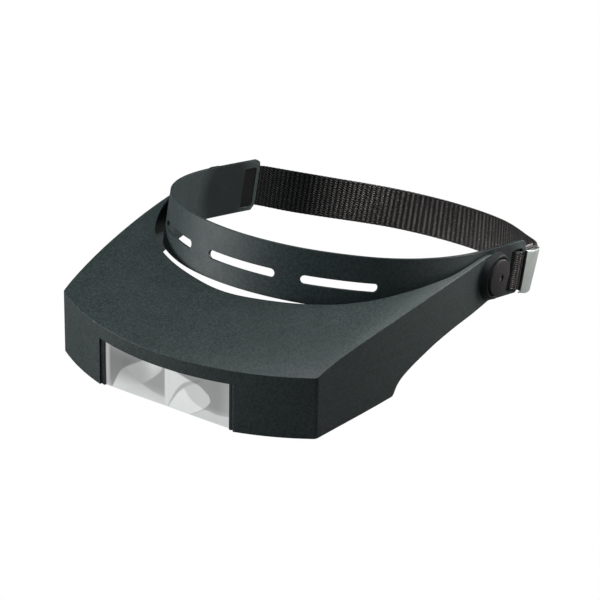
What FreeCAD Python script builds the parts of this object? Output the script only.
import FreeCAD, Part
import os
from math import sqrt, sin, cos, radians, pi, exp
from FreeCAD import Vector as V

# Head visor magnifier: a visor shell with a lens window, hinged on a headband with a rear strap.
# Millimetres.  Origin: middle of the flip-up pivot axis, which runs along X.
# -Y is the front, +Z is up, +X is the side with the metal strap tip.  Left (-X) and right (+X)
# in the names are as seen from in front.

os.makedirs("parts", exist_ok=True)

# ---------------------------------------------------------------- driving dimensions
VISOR_TILT = 4.7              # front down
BAND_TILT = -9.0              # front up
DATUM_Y, DATUM_Z = -0.3, 3.1  # moulding datum to pivot axis, visor axes
BAND_DY, BAND_DZ = -1.0, 2.94  # the same step in the headband's axes

WALL_T = 2.0                  # visor shell wall
RIM_Z = -37.69                # lower rim of the visor

# stations along X at each pivot
X_SOCKET = 89.7               # bottom of the bush's blind pocket
X_PAD = 90.7                  # seat of the friction washer on the headband
WASHER_T = 0.7
X_EAR = X_PAD + WASHER_T      # inner face of the visor ear
EAR_T = 2.0
X_OUT = X_EAR + EAR_T         # outer face of the visor ear

BUSH_R = 3.0                  # pivot bush, outer radius
SLEEVE_OUT = 4.2              # bearing sleeve pressed into the ear
SLEEVE_IN = 3.05

STRAP_SLOT_Y = (24.5, 36.4)   # strap slot in each headband arm
STRAP_SLOT_Z = (-16.3, 7.0)

ORIGIN = V(0, 0, 0)
X_AXIS = V(1, 0, 0)


# ---------------------------------------------------------------- helpers
def place(shape, tilt, y=0.0, z=0.0):
    """Copy moved by y, z and then tilted about the pivot axis."""
    moved = shape.copy()
    moved.translate(V(0, y, z))
    moved.rotate(ORIGIN, X_AXIS, tilt)
    return moved


def save(name, shape):
    solids = shape.Solids
    out = solids[0] if len(solids) == 1 else Part.makeCompound(solids)
    out.exportStep("parts/" + name + ".step")


def save_visor(name, shape):
    save(name, place(shape, VISOR_TILT, DATUM_Y, DATUM_Z))


def save_band(name, shape):
    save(name, place(shape, BAND_TILT, BAND_DY, BAND_DZ))


def mirror(shape):
    return shape.mirror(ORIGIN, X_AXIS)


def fuse_both(shape, tool):
    return shape.fuse(tool).fuse(mirror(tool))


def cut_both(shape, tool):
    return shape.cut(tool).cut(mirror(tool))


def largest(shape):
    return max(shape.Solids, key=lambda solid: solid.Volume)


def outward(solid):
    """Turn an inside-out solid the right way round."""
    if solid.Volume < 0:
        solid.reverse()
    return solid


def box(x0, x1, y0, y1, z0, z1):
    return Part.makeBox(x1 - x0, y1 - y0, z1 - z0, V(x0, y0, z0))


def cyl(radius, x0, x1, y=0.0, z=0.0):
    return Part.makeCylinder(radius, x1 - x0, V(x0, y, z), X_AXIS)


def round_x_edges(block, radius):
    return block.makeFillet(radius, [e for e in block.Edges if e.BoundBox.XLength > 1])


def edges_at_x(shape, x):
    return [e for e in shape.Edges
            if abs(e.BoundBox.XMin - x) < 1e-3 and e.BoundBox.XLength < 1e-3]


def prism_yz(outline, x0, x1):
    """Closed outline of (y, z) points extruded along X."""
    wire = Part.makePolygon([V(x0, y, z) for y, z in outline + [outline[0]]])
    return Part.Face(wire).extrude(V(x1 - x0, 0, 0))


def bspline(points):
    curve = Part.BSplineCurve()
    curve.interpolate([V(*p) for p in points])
    return curve


def spline_edge(points):
    return bspline(points).toShape()


def plan_edge(points):
    return spline_edge([(x, y, 0) for x, y in points])


def flip_x(points):
    return [(-x, y) for x, y in points]


def sorted_face(edges):
    return Part.Face(Part.Wire(Part.sortEdges(edges)[0]))


def stations_along(points, count):
    """count + 1 rows (x, y, tangent x, tangent y) along a plan spline."""
    curve = bspline([(x, y, 0) for x, y in points])
    first, last = curve.FirstParameter, curve.LastParameter
    rows = []
    for i in range(count + 1):
        u = first + (last - first) * i / count
        point, tangent = curve.value(u), curve.tangent(u)[0]
        tangent.normalize()
        rows.append((point.x, point.y, tangent.x, tangent.y))
    return rows


def strip_face(rows, half_t, z):
    """Plan strip reaching half_t to each side of the stations."""
    left = [(x - ty * half_t, y + tx * half_t, z) for x, y, tx, ty in rows]
    right = [(x + ty * half_t, y - tx * half_t, z) for x, y, tx, ty in rows]
    return Part.Face(Part.Wire([
        spline_edge(left), Part.makeLine(V(*left[-1]), V(*right[-1])),
        spline_edge(right), Part.makeLine(V(*right[0]), V(*left[0]))]))


def monotone_cubic(table):
    """Monotone cubic through (s, value) pairs: sloped before the first, level after the last."""
    count = len(table)
    step = [table[i + 1][0] - table[i][0] for i in range(count - 1)]
    chord = [(table[i + 1][1] - table[i][1]) / step[i] for i in range(count - 1)]
    slope = [chord[0]]
    for a, b in zip(chord, chord[1:]):
        slope.append(0.0 if a * b <= 0 else 2 * a * b / (a + b))
    slope.append(chord[-1])

    def value(s):
        if s <= table[0][0]:
            return table[0][1] + slope[0] * (s - table[0][0])
        for i in range(count - 1):
            if s <= table[i + 1][0]:
                t = (s - table[i][0]) / step[i]
                return ((2 * t ** 3 - 3 * t * t + 1) * table[i][1]
                        + (t ** 3 - 2 * t * t + t) * step[i] * slope[i]
                        + (-2 * t ** 3 + 3 * t * t) * table[i + 1][1]
                        + (t ** 3 - t * t) * step[i] * slope[i + 1])
        return table[-1][1]
    return value


# ---------------------------------------------------------------- visor shell
FRONT_W = 81.75               # half width of the front wall
FRONT_R = 143.97              # plan radius of the front wall
FRONT_CY = -34.5              # centre of that radius
TOP_Z = -2.24                 # top edge of the front wall
WIN_W = 42.9                  # half width of the lens window
WIN_TOP = -10.1               # underside of the header above the window
CORNER_R = 3.2                # front corners, outside and inside
CORNER_IN_R = 1.6
TOOL_DEPTH = 140.0            # depth of the solids below the top surface

BOSS_R = 13.7                 # ear end radius and foot of the boss ring
RING_TOP = 12.3               # outer radius of the boss ring at its top
RING_IN = 10.75
RING_H = 3.5
RING_EDGE_R = 0.5
EAR_Y, EAR_Z = -DATUM_Y, -DATUM_Z    # pivot axis in the moulding's axes

# Outer side line in plan (x, y), from the front corner back to the ear.
SIDE = [
    (81.75, -153.0), (82.9, -144.2), (84.3, -133.0), (86.0, -120.5), (87.6, -107.3),
    (89.1, -93.1), (90.3, -78.5), (91.4, -62.8), (92.3, -45.3), (92.9, -28.0),
    (93.15, -14.0), (93.2, -4.0), (93.2, 4.0)]
# Rear edge of the top panel (x, y), from the middle out to the side.
TOP_REAR = [
    (0.0, -120.4), (10.0, -119.5), (19.5, -117.3), (32.0, -113.3), (41.3, -109.4),
    (51.2, -104.0), (58.6, -98.8), (64.5, -93.3), (70.0, -87.0), (75.5, -79.0),
    (80.5, -69.8), (84.8, -59.8), (88.2, -48.5), (90.1, -38.0)]
# Rise of the top panel: (distance behind the front wall, height above TOP_Z).
RISE = [
    (0, 0), (8, 2.5), (18.4, 4.76), (29.4, 6.44), (41.5, 7.94), (54.3, 9.2), (68.4, 10.44),
    (84, 11.44), (100.8, 12.1), (115, 12.6), (130, 12.9), (150, 13.0), (175, 13.0)]
# Lower edge of the side panels (y, z), front to rear.
LOWER = [
    (-92.4, RIM_Z), (-90.9, -36.2), (-89.3, -33.6), (-87.2, -31.5), (-84.8, -29.9),
    (-81.2, -28.3), (-77.9, -27.1), (-72.6, -25.5), (-67.4, -24.2), (-58.4, -22.1),
    (-49.3, -20.6), (-40, -19.5), (-30.6, -18.8), (-20.8, -18.3), (-11.1, -17.5), (-3.0, -16.8)]
# Grid lines of the top surface.
GRID_X_LEFT = [
    -99, -96.5, -94.5, -93, -91.5, -90, -88.5, -87, -85, -83, -80.5, -77.5, -74, -69, -62,
    -52, -40, -27, -13.5]
GRID_X = GRID_X_LEFT + [0.0] + [-x for x in reversed(GRID_X_LEFT)]
GRID_Y = [
    -186, -182, -178, -174, -170, -166, -162, -158, -154, -150, -146, -142, -137, -132, -126,
    -120, -113, -106, -98, -90, -82, -74, -66, -58, -50, -42, -34, -26, -17, -8, 2, 13, 25]

rise_at = monotone_cubic(RISE)
side_x = monotone_cubic([(y, x) for x, y in SIDE])


def front_y(x):
    x = min(abs(x), 125.0)
    return FRONT_CY - sqrt(FRONT_R * FRONT_R - x * x)


def top_height(x, y):
    """Rise behind the front wall plus a crown that falls away near the sides and the rear."""
    behind = y - front_y(x)
    inside = side_x(y) - abs(x)
    crown = 0.03 * max(0.0, min(behind, 100.0))
    if behind > 100:
        crown *= max(0.0, 1 - (behind - 100) / 60.0)
    edge = 1 - exp(-inside / 3.5) if inside > 0 else inside / 3.5
    return TOP_Z + rise_at(behind) + crown * max(edge, -0.8)


def make_top_face():
    surface = Part.BSplineSurface()
    surface.interpolate([[V(x, y, top_height(x, y)) for y in GRID_Y] for x in GRID_X])
    return surface.toShape()


def front_arc(half_w, y_end, y_mid):
    return Part.Arc(V(half_w, y_end, 0), V(0, y_mid, 0), V(-half_w, y_end, 0)).toShape()


def outer_plan():
    """Outline of the whole shell seen from above."""
    side = plan_edge(SIDE)
    arc = front_arc(FRONT_W, SIDE[0][1], FRONT_CY - FRONT_R)
    top_rear = plan_edge(flip_x(reversed(TOP_REAR)) + TOP_REAR[1:])
    # inner face of the side arm, behind the top panel
    x_end, y_end = SIDE[-1]
    arm = [TOP_REAR[-1]] + [(x - WALL_T, y) for x, y in SIDE if y > TOP_REAR[-1][1]]
    arm_right = plan_edge(arm)
    arm_left = plan_edge(flip_x(arm))
    end_right = Part.makeLine(V(x_end, y_end, 0), V(x_end - WALL_T, y_end, 0))
    end_left = Part.makeLine(V(-x_end, y_end, 0), V(-x_end + WALL_T, y_end, 0))
    side_left = plan_edge(flip_x(SIDE))
    return sorted_face([side, arc, side_left, end_left, arm_left, top_rear, arm_right, end_right])


def inner_plan():
    """Outline of the hollow, running out past the rear of the arms."""
    rear_y = 40.0
    inside = [(x - WALL_T, y) for x, y in SIDE]
    inside[0] = (FRONT_W - WALL_T + 0.25, -151.0)
    x_front, y_front = inside[0]
    x_rear = inside[-1][0]
    inside.append((x_rear, rear_y))
    side_right = plan_edge(inside)
    side_left = plan_edge(flip_x(inside))
    arc = front_arc(x_front, y_front, FRONT_CY - FRONT_R + WALL_T)
    back = Part.makeLine(V(x_rear, rear_y, 0), V(-x_rear, rear_y, 0))
    return sorted_face([side_right, arc, side_left, back])


def plan_prism(face, z0, height, corner_r):
    """Plan face extruded upwards, its two front corners rounded."""
    face.translate(V(0, 0, z0))
    prism = face.extrude(V(0, 0, height))
    corners = []
    for e in prism.Edges:
        bounds, point = e.BoundBox, e.Vertexes[0].Point
        upright = bounds.XLength < 0.05 and bounds.YLength < 0.05 and bounds.ZLength > 20
        if upright and abs(point.x) > 70 and point.y < -140:
            corners.append(e)
    return prism.makeFillet(corner_r, corners)


def lower_cutter():
    """Everything below the lower edge of the front and side panels."""
    y_front, y_rear, z_low = -200, 60, -90
    y_end, z_end = LOWER[-1]
    path = [(y_end, z_end), (y_rear, z_end), (y_rear, z_low), (y_front, z_low), (y_front, RIM_Z)]
    edges = [Part.makeLine(V(0, y_front, RIM_Z), V(0, LOWER[0][0], RIM_Z)),
             spline_edge([(0, y, z) for y, z in LOWER])]
    edges += [Part.makeLine(V(0, *p), V(0, *q)) for p, q in zip(path, path[1:])]
    face = Part.Face(Part.Wire(edges))
    face.translate(V(-120, 0, 0))
    return face.extrude(V(240, 0, 0))


def make_ear():
    """Flat disc round the pivot with a raised, tapered ring."""
    disc = cyl(BOSS_R, X_EAR, X_OUT, EAR_Y, EAR_Z)
    ring = Part.makeCone(BOSS_R, RING_TOP, RING_H + 0.01, V(X_OUT - 0.01, EAR_Y, EAR_Z), X_AXIS)
    ring = ring.cut(cyl(RING_IN, X_OUT - 1, X_OUT + 9, EAR_Y, EAR_Z))
    ring = ring.makeFillet(RING_EDGE_R, edges_at_x(ring, X_OUT + RING_H))
    return disc.fuse(ring)


def make_shell():
    top_face = make_top_face()
    outer = plan_prism(outer_plan(), -60, 110, CORNER_R).common(
        top_face.extrude(V(0, 0, -TOOL_DEPTH)))
    ceiling = top_face.copy()
    ceiling.translate(V(0, 0, -WALL_T))
    hollow = plan_prism(inner_plan(), -61, 112, CORNER_IN_R).common(
        ceiling.extrude(V(0, 0, -TOOL_DEPTH)))
    shell = outer.cut(hollow).cut(lower_cutter())
    # window, open downwards
    shell = shell.cut(box(-WIN_W, WIN_W, -200, -160, -80, WIN_TOP))

    # the arm ends at the pivot, and its upper and lower edges run onto the disc
    disc_reach = BOSS_R - 0.3
    above = [(EAR_Y, EAR_Z + disc_reach), (EAR_Y, 60), (-24.0, 60), (-24.0, 12.4)]
    below = [(EAR_Y, EAR_Z - disc_reach), (EAR_Y, -60), (-24.0, -60), (-24.0, -19.6)]
    shell = shell.cut(prism_yz(above, -100, 100))
    shell = shell.cut(prism_yz(below, -100, 100))
    shell = shell.cut(box(-100, 100, EAR_Y, 60, -60, 60))
    shell = cut_both(shell, cyl(BOSS_R + 0.4, 60, X_EAR, EAR_Y, EAR_Z))
    ear = make_ear()
    shell = shell.multiFuse([ear, mirror(ear)])
    shell = cut_both(shell, cyl(SLEEVE_OUT, 80, 110, EAR_Y, EAR_Z))
    # merging faces may fail on the free-form surfaces; the unmerged shell is then used
    try:
        shell = shell.removeSplitter()
    except Exception:
        pass
    return largest(shell)


save_visor("visor_shell", make_shell())

# ---------------------------------------------------------------- lens window parts
LENS_W = 40.0                 # half width of the pair of lenses
LENS_Y = -171.3               # front face of the lenses
LENS_T = 3.2                  # thickness at the lens corners
LENS_R = 175.0                # radius of the rear face
LENS_HALF_H = 13.6
LENS_GAP = 0.04               # from the middle plane to each lens

BEZEL_W = 49.0                # half width over the flanges
BEZEL_LIP_X = 40.4            # inner edge of the lip behind the lenses
BEZEL_REAR_Y = -164.8
BEZEL_LIP_Y = -166.3          # front of the lip
BEZEL_FLANGE_Y = -166.9       # front of the side flanges and top bar
BEZEL_LOW_Z = RIM_Z + 0.3
BEZEL_SIDE_Z = -10.3          # top of the channel walls
BEZEL_FLANGE_Z = -8.0         # top of the side flanges

FRAME_W = 41.4                # half width of the lens frame
FRAME_IN = LENS_W + 0.05
FRAME_TOP_Y = -169.4          # front of the top bar
FRAME_REAR_Y = -166.6


def make_bezel():
    """Inverted U behind the front wall, with guide channels for the lens frame."""
    wall = box(41.55, 42.8, -171.2, BEZEL_REAR_Y, BEZEL_LOW_Z, BEZEL_SIDE_Z)
    lip = box(BEZEL_LIP_X, 41.6, BEZEL_LIP_Y, BEZEL_REAR_Y, BEZEL_LOW_Z, BEZEL_SIDE_Z)
    flange = box(42.7, BEZEL_W, BEZEL_FLANGE_Y, BEZEL_REAR_Y, RIM_Z + 3.0, BEZEL_FLANGE_Z)
    top_bar = box(-BEZEL_W, BEZEL_W, BEZEL_FLANGE_Y, BEZEL_REAR_Y, -8.6, -3.6)
    shelf = box(-42.0, 42.0, -169.0, -166.8, -6.6, -5.2)
    corner = box(BEZEL_LIP_X, BEZEL_W, BEZEL_LIP_Y, BEZEL_REAR_Y, -10.5, BEZEL_FLANGE_Z)
    side = wall.fuse(lip).fuse(flange)
    bezel = side.fuse(mirror(side)).fuse(top_bar.fuse(shelf))
    return fuse_both(bezel, corner).removeSplitter()


def make_lens_frame():
    """Thin inverted U round the two lens halves."""
    rail = box(FRAME_IN, FRAME_W, LENS_Y, FRAME_REAR_Y, RIM_Z + 0.1, -10.25)
    top_bar = box(-FRAME_W, FRAME_W, FRAME_TOP_Y, -167.1, -10.3, -8.2)
    corner = box(FRAME_IN, FRAME_W, FRAME_TOP_Y, FRAME_REAR_Y, -10.6, -8.7)
    return fuse_both(rail.fuse(mirror(rail)).fuse(top_bar), corner).removeSplitter()


def make_lens(x0, x1):
    """Flat in front, spherical behind."""
    block = box(x0, x1, LENS_Y, LENS_Y + 6.0, RIM_Z + 0.05, -10.35)
    corner_reach = sqrt(((x1 - x0) / 2) ** 2 + LENS_HALF_H ** 2)
    centre_y = LENS_Y + LENS_T - sqrt(LENS_R ** 2 - corner_reach ** 2)
    centre = V((x0 + x1) / 2, centre_y, (RIM_Z - 10.3) / 2)
    return block.common(Part.makeSphere(LENS_R, centre))


save_visor("lens_bezel", make_bezel())
save_visor("lens_frame", make_lens_frame())
save_visor("left_lens", make_lens(-LENS_W, -LENS_GAP))
save_visor("right_lens", make_lens(LENS_GAP, LENS_W))

# ---------------------------------------------------------------- headband
BAND_T = 1.6
BAND_TOP, BAND_BOT = 11.6, -17.6
BAND_END = 39.5               # rear end of the arms
SLOT_H = 4.7                  # the three long slots
SLOT_Z = -4.9
# Slot ends, measured along the band from its middle, positive towards +X.
LONG_SLOTS = ((-18.0, 23.6), (37.4, 79.0), (-75.0, -32.9))

# Middle line in plan (x, y), from the front middle to the rear of the +X arm.
BAND_HALF = [
    (0.0, -112.3), (17.0, -110.5), (33.7, -105.2), (44.6, -99.2), (55.2, -91.5), (65.8, -81.6),
    (73.5, -71.3), (80.8, -57.0), (86.3, -39.5), (88.6, -26.3), (89.6, -14.5), (89.9, -3.9),
    (89.95, 6.2), (89.9, 16.4), (89.8, 26.2), (89.6, BAND_END)]
BAND_LINE = flip_x(reversed(BAND_HALF)) + BAND_HALF[1:]
# Side outline (y, z): lower edge dropping to the rear, rear corners cut off.
BAND_SIDE = [
    (-140, BAND_BOT), (BAND_END - 3.4, BAND_BOT - 1.2), (BAND_END + 0.4, -15.4),
    (BAND_END + 0.4, BAND_TOP - 4.2), (BAND_END - 0.8, BAND_TOP - 1.4),
    (BAND_END - 3.8, BAND_TOP), (-140, BAND_TOP)]


def long_slot(rows, distances, start, end):
    """Cutter for a round-ended slot that follows the band."""
    r = SLOT_H / 2
    keep = [row for row, s in zip(rows, distances) if start + r <= s <= end - r]
    last = len(keep) - 1
    spaced = [keep[round(last * i / 10)] for i in range(11)]
    tool = strip_face(spaced, 5, SLOT_Z - r).extrude(V(0, 0, SLOT_H))
    for x, y, tx, ty in (keep[0], keep[-1]):
        across = V(-ty, tx, 0)
        tool = tool.fuse(Part.makeCylinder(r, 12, V(x, y, SLOT_Z) - across * 6, across))
    return tool


def make_headband():
    band = strip_face(stations_along(BAND_LINE, 90), BAND_T / 2, -40).extrude(V(0, 0, 80))
    band = band.common(prism_yz(BAND_SIDE, -120, 120))

    rows = stations_along(BAND_LINE, 3000)
    travelled = [0.0]
    for p, q in zip(rows, rows[1:]):
        travelled.append(travelled[-1] + sqrt((p[0] - q[0]) ** 2 + (p[1] - q[1]) ** 2))
    middle = min(range(len(rows)), key=lambda i: abs(rows[i][0]))
    distances = [s - travelled[middle] for s in travelled]
    for start, end in LONG_SLOTS:
        band = band.cut(long_slot(rows, distances, start, end))
    band = cut_both(band, round_x_edges(box(70, 110, *STRAP_SLOT_Y, *STRAP_SLOT_Z), 1.5))

    # flat round seat for the friction washer, and the blind pocket of the pivot bush
    y, z = -BAND_DY, -BAND_DZ
    band = fuse_both(band, cyl(9.0, 89.4, X_PAD, y, z))
    band = cut_both(band, cyl(8.6, X_PAD, 94, y, z))
    band = cut_both(band, cyl(BUSH_R, X_SOCKET, X_PAD + 1, y, z))
    return largest(band.removeSplitter())


save_band("headband", make_headband())

# ---------------------------------------------------------------- pivots, one set each side
BUSH_BORE = 1.55
SCREW_R = 1.5
SCREW_END = 90.3              # inner end of the screw
HEAD_R = 3.3
CAP_R = 10.4                  # cap over the clamp screw
CAP_H = 5.4
CAP_EDGE_R = 0.9
DOME_R = 60.0                 # radius of the cap's outer face
HEAD_X0 = X_OUT + 3.2
HEAD_X1 = X_OUT + CAP_H - 0.75
CAP_X0 = X_OUT + 0.66         # inner face of the cap
CAP_X1 = X_OUT + CAP_H

WAVE_X = X_OUT + 0.32         # middle of the wave washer
WAVE_HEIGHT = 0.16            # amplitude of its three waves
WAVE_HALF_T = 0.13
WAVE_IN, WAVE_OUT = 4.4, 7.0
WAVE_POINTS = 48


def make_bush():
    return cyl(BUSH_R, X_SOCKET, X_OUT - 0.05).cut(cyl(BUSH_BORE, 90.0, X_OUT + 1))


def make_friction_washer():
    return cyl(8.2, X_PAD, X_EAR - 0.02).cut(cyl(SLEEVE_IN, X_PAD - 1, X_EAR + 1))


def make_ear_sleeve():
    return cyl(SLEEVE_OUT, X_EAR + 0.05, X_OUT).cut(cyl(SLEEVE_IN, X_EAR - 1, X_OUT + 1))


def wave_edge(radius, offset):
    points = []
    for i in range(WAVE_POINTS):
        a = 2 * pi * i / WAVE_POINTS
        x = WAVE_X + WAVE_HEIGHT * cos(3 * a) + offset
        points.append(V(x, radius * cos(a), radius * sin(a)))
    curve = Part.BSplineCurve()
    curve.interpolate(points, PeriodicFlag=True)
    return curve.toShape()


def make_wave_washer():
    """Thin ring bent into three waves."""
    rim_far, bore_far = [wave_edge(r, WAVE_HALF_T) for r in (WAVE_OUT, WAVE_IN)]
    rim_near, bore_near = [wave_edge(r, -WAVE_HALF_T) for r in (WAVE_OUT, WAVE_IN)]
    pairs = ((rim_far, bore_far), (rim_near, bore_near), (rim_far, rim_near),
             (bore_far, bore_near))
    skin = Part.makeShell([Part.makeRuledSurface(a, b) for a, b in pairs])
    skin.sewShape()
    return outward(Part.makeSolid(skin))


def make_screw():
    """Flat cylindrical head with a cross recess."""
    screw = cyl(SCREW_R, SCREW_END, HEAD_X0 + 0.1).fuse(cyl(HEAD_R, HEAD_X0, HEAD_X1))
    screw = screw.makeChamfer(0.4, edges_at_x(screw, SCREW_END))
    half_l, half_w = 1.75, 0.33
    x0, x1 = HEAD_X1 - 0.9, HEAD_X1 + 3
    return screw.cut(box(x0, x1, -half_l, half_l, -half_w, half_w).fuse(
        box(x0, x1, -half_w, half_w, -half_l, half_l)))


def dome_x(radius):
    return CAP_X1 - DOME_R + sqrt(DOME_R ** 2 - radius ** 2)


def make_cap():
    """Low dome over the screw head, with a hole in the middle and two grooves inside."""
    flat_r = CAP_R - CAP_EDGE_R
    rim_x = dome_x(flat_r)
    inset = CAP_EDGE_R * (1 - sqrt(0.5))
    profile = [
        Part.makeLine(V(CAP_X0, 0, 0), V(CAP_X0, CAP_R, 0)),
        Part.makeLine(V(CAP_X0, CAP_R, 0), V(rim_x - CAP_EDGE_R, CAP_R, 0)),
        Part.Arc(V(rim_x - CAP_EDGE_R, CAP_R, 0), V(rim_x - inset, CAP_R - inset, 0),
                 V(rim_x, flat_r, 0)).toShape(),
        Part.Arc(V(rim_x, flat_r, 0), V(dome_x(CAP_R / 2), CAP_R / 2, 0),
                 V(CAP_X1, 0, 0)).toShape(),
        Part.makeLine(V(CAP_X1, 0, 0), V(CAP_X0, 0, 0))]
    cap = outward(Part.Face(Part.Wire(profile)).revolve(ORIGIN, X_AXIS, 360))
    cap = cap.cut(cyl(SCREW_R + 0.05, CAP_X0 - 1, HEAD_X0 + 1))
    cap = cap.cut(cyl(HEAD_R, HEAD_X0, HEAD_X1))
    cap = cap.cut(cyl(2.05, HEAD_X1 - 0.1, X_OUT + 9))
    for r_out, r_in, depth in ((9.0, 7.4, 2.2), (6.0, 4.2, 1.6)):
        cap = cap.cut(cyl(r_out, CAP_X0 - 1, CAP_X0 + depth).cut(
            cyl(r_in, CAP_X0 - 2, CAP_X0 + 4)))
    return cap


PIVOT_PARTS = (
    ("pivot_bush", make_bush, BAND_TILT),
    ("friction_washer", make_friction_washer, BAND_TILT),
    ("ear_sleeve", make_ear_sleeve, VISOR_TILT),
    ("wave_washer", make_wave_washer, VISOR_TILT),
    ("clamp_screw", make_screw, VISOR_TILT),
    ("pivot_cap", make_cap, VISOR_TILT))
for name, make_part, tilt in PIVOT_PARTS:
    part = make_part()
    save("right_" + name, place(part, tilt))
    save("left_" + name, place(mirror(part), tilt))

# ---------------------------------------------------------------- strap
STRAP_T = 1.8                 # webbing thickness
STRAP_W = 25.0                # webbing width
HALF_T = STRAP_T / 2
REAR_R, REAR_Y = 66.0, 61.3   # rear bend: radius and centre

# Rows are (x, y, upper edge z, lower edge z, outward lean of the lower edge).
# Left anchor to the rear bend.
LEFT_RUN = [
    (-91.75, 23.2, 6.6, -15.9, 0), (-91.75, 31.0, 6.8, -16.1, 0), (-91.7, 39.0, 7.0, -16.4, 0),
    (-91.1, 47.0, 6.2, -18.0, -0.3), (-89.2, 55.5, 4.6, -19.8, -0.6),
    (-85.6, 63.5, 3.3, -21.4, -0.6), (-80.4, 70.5, 2.4, -22.5, -0.3),
    (-70.5, 81.6, 1.2, -23.8, 0.6), (-60.0, 93.2, 0.0, -25.0, 1.6)]
# Rear bend forward to the right slot.
RIGHT_RUN = [
    (60.0, 93.0, 0.0, -25.0, 1.6), (69.6, 81.8, 1.2, -23.8, 0.6), (78.0, 71.6, 2.3, -22.7, -0.7),
    (81.9, 64.4, 3.0, -21.9, -1.6), (84.8, 57.0, 3.8, -21.0, -1.6),
    (86.5, 49.5, 4.6, -19.9, -1.0), (87.2, 43.5, 5.2, -18.8, -0.3),
    (87.35, 38.5, 5.8, -17.4, 0)]
# Fold through the right slot (x, y); the webbing is a little narrower there.
FOLD = [(87.5, 33.0), (88.1, 29.0), (89.8, 27.4), (91.5, 28.9), (91.95, 33.0)]
FOLD_TOP, FOLD_BOT = 6.3, -15.9
# Tail outside the right run, front to rear.
TAIL = [
    (91.9, 40.6, 5.3, -18.6, 0), (91.3, 46.6, 4.4, -19.9, -0.5), (89.9, 53.0, 3.6, -20.7, -1.0),
    (87.8, 59.2, 2.9, -21.4, -1.4), (85.1, 64.6, 2.3, -22.0, -1.5)]
TIP_START = (91.9, 38.6, 5.7, -18.2, 0)   # front end of the metal tip


def ribbon(rows, outer, inner, raise_top=0.0, raise_bottom=0.0, count=60):
    """Strip along rows, between two offsets to the right of travel.
    raise_top and raise_bottom move its edges up from those of the webbing."""
    path = []
    for x, y, z_top, z_bottom, lean in rows:
        z1, z0 = z_top + raise_top, z_bottom + raise_bottom
        width = z_top - z_bottom
        path.append((z1, z0, lean * (z_top - z1) / width, lean * (z_top - z0) / width))
    curve = bspline([(row[0], row[1], 0) for row in rows])
    params = [curve.parameter(V(row[0], row[1], 0)) for row in rows]
    first, last = curve.FirstParameter, curve.LastParameter

    def values_at(u):
        for ua, ub, a, b in zip(params, params[1:], path, path[1:]):
            if u <= ub + 1e-9:
                f = (u - ua) / (ub - ua)
                return [p + (q - p) * f for p, q in zip(a, b)]
        return path[-1]

    # point lists of the four long edges
    outer_top, outer_low, inner_top, inner_low = [], [], [], []
    for i in range(count + 1):
        u = first + (last - first) * i / count
        point, tangent = curve.value(u), curve.tangent(u)[0]
        tangent.normalize()
        z1, z0, lean_top, lean_low = values_at(u)
        for points, offset, z in (
                (outer_top, outer + lean_top, z1), (outer_low, outer + lean_low, z0),
                (inner_top, inner + lean_top, z1), (inner_low, inner + lean_low, z0)):
            points.append((point.x + tangent.y * offset, point.y - tangent.x * offset, z))
    ot, ol, it, il = [spline_edge(p) for p in (outer_top, outer_low, inner_top, inner_low)]
    faces = [Part.makeRuledSurface(a, b) for a, b in ((ot, ol), (it, il), (ot, it), (ol, il))]
    for k in (0, -1):
        ring = (outer_top[k], outer_low[k], inner_low[k], inner_top[k], outer_top[k])
        faces.append(Part.Face(Part.makePolygon([V(*p) for p in ring])))
    skin = Part.makeShell(faces)
    skin.sewShape()
    return outward(Part.makeSolid(skin))


def rear_rows():
    """Rear bend, sagging and leaning out more towards the rear."""
    rows = []
    for deg in (135, 124, 113, 102, 90, 78, 67, 56, 45):
        a = radians(deg)
        x, y = REAR_R * cos(a), REAR_Y + REAR_R * sin(a)
        z_top = 5.9 - max(0.0, y - 38.0) * 0.108
        lean = 3.4 * max(0.0, min(1.0, (y - 75.0) / 40.0))
        rows.append((x, y, z_top, z_top - STRAP_W, lean))
    return rows


def make_strap():
    fold = [(x, y, FOLD_TOP, FOLD_BOT, 0) for x, y in FOLD]
    # the webbing is turned over after the fold, so the tail's lean changes sign
    tail = [(x, y, z1, z0, -lean) for x, y, z1, z0, lean in TAIL]
    path = LEFT_RUN + rear_rows() + RIGHT_RUN + fold + tail
    return ribbon(path[::-1], HALF_T, -HALF_T, count=260)


def beyond(p, q, k):
    """Row p moved on, away from q, by k times their difference."""
    return tuple(a + (a - b) * k for a, b in zip(p, q))


def make_tip():
    """Metal tip on the tail: an outer plate and two lips over the webbing's edges."""
    plate_t = 0.55
    gap = 0.1
    rows = [TIP_START] + TAIL
    lip = plate_t + gap
    body = ribbon(rows, HALF_T + lip, -0.1, lip, -lip, count=50)
    longer = [beyond(rows[0], rows[1], 0.6)] + rows + [beyond(rows[-1], rows[-2], 0.3)]
    room = ribbon(longer, HALF_T + gap, -3.0, 0.12, -0.12, count=56)
    return largest(body.cut(room))


def make_anchor():
    """Plug in the left arm's strap slot."""
    gap = 0.15
    (y0, y1), (z0, z1) = STRAP_SLOT_Y, STRAP_SLOT_Z
    return round_x_edges(box(-90.82, -89.3, y0 + gap, y1 - gap, z0 + gap, z1 - gap), 1.3)


save_band("strap_webbing", make_strap())
save_band("strap_end_tip", make_tip())

# hook tape inside the tail; loop tape outside the right run, with a backing tape inside it
loop_rows = [row for row in RIGHT_RUN[::-1] if 40 < row[1] < 76]
save_band("strap_hook_patch",
          ribbon(TAIL[1:], -(HALF_T + 0.10), -(HALF_T + 0.5), -1.5, 1.5, count=40))
save_band("strap_loop_patch", ribbon(loop_rows, HALF_T + 0.5, HALF_T + 0.11, -1.2, 1.2))
save_band("strap_backing_tape",
          ribbon(loop_rows[:-1], -(HALF_T + 0.10), -(HALF_T + 0.76), 0.5, -0.2))
save_band("left_strap_anchor", make_anchor())
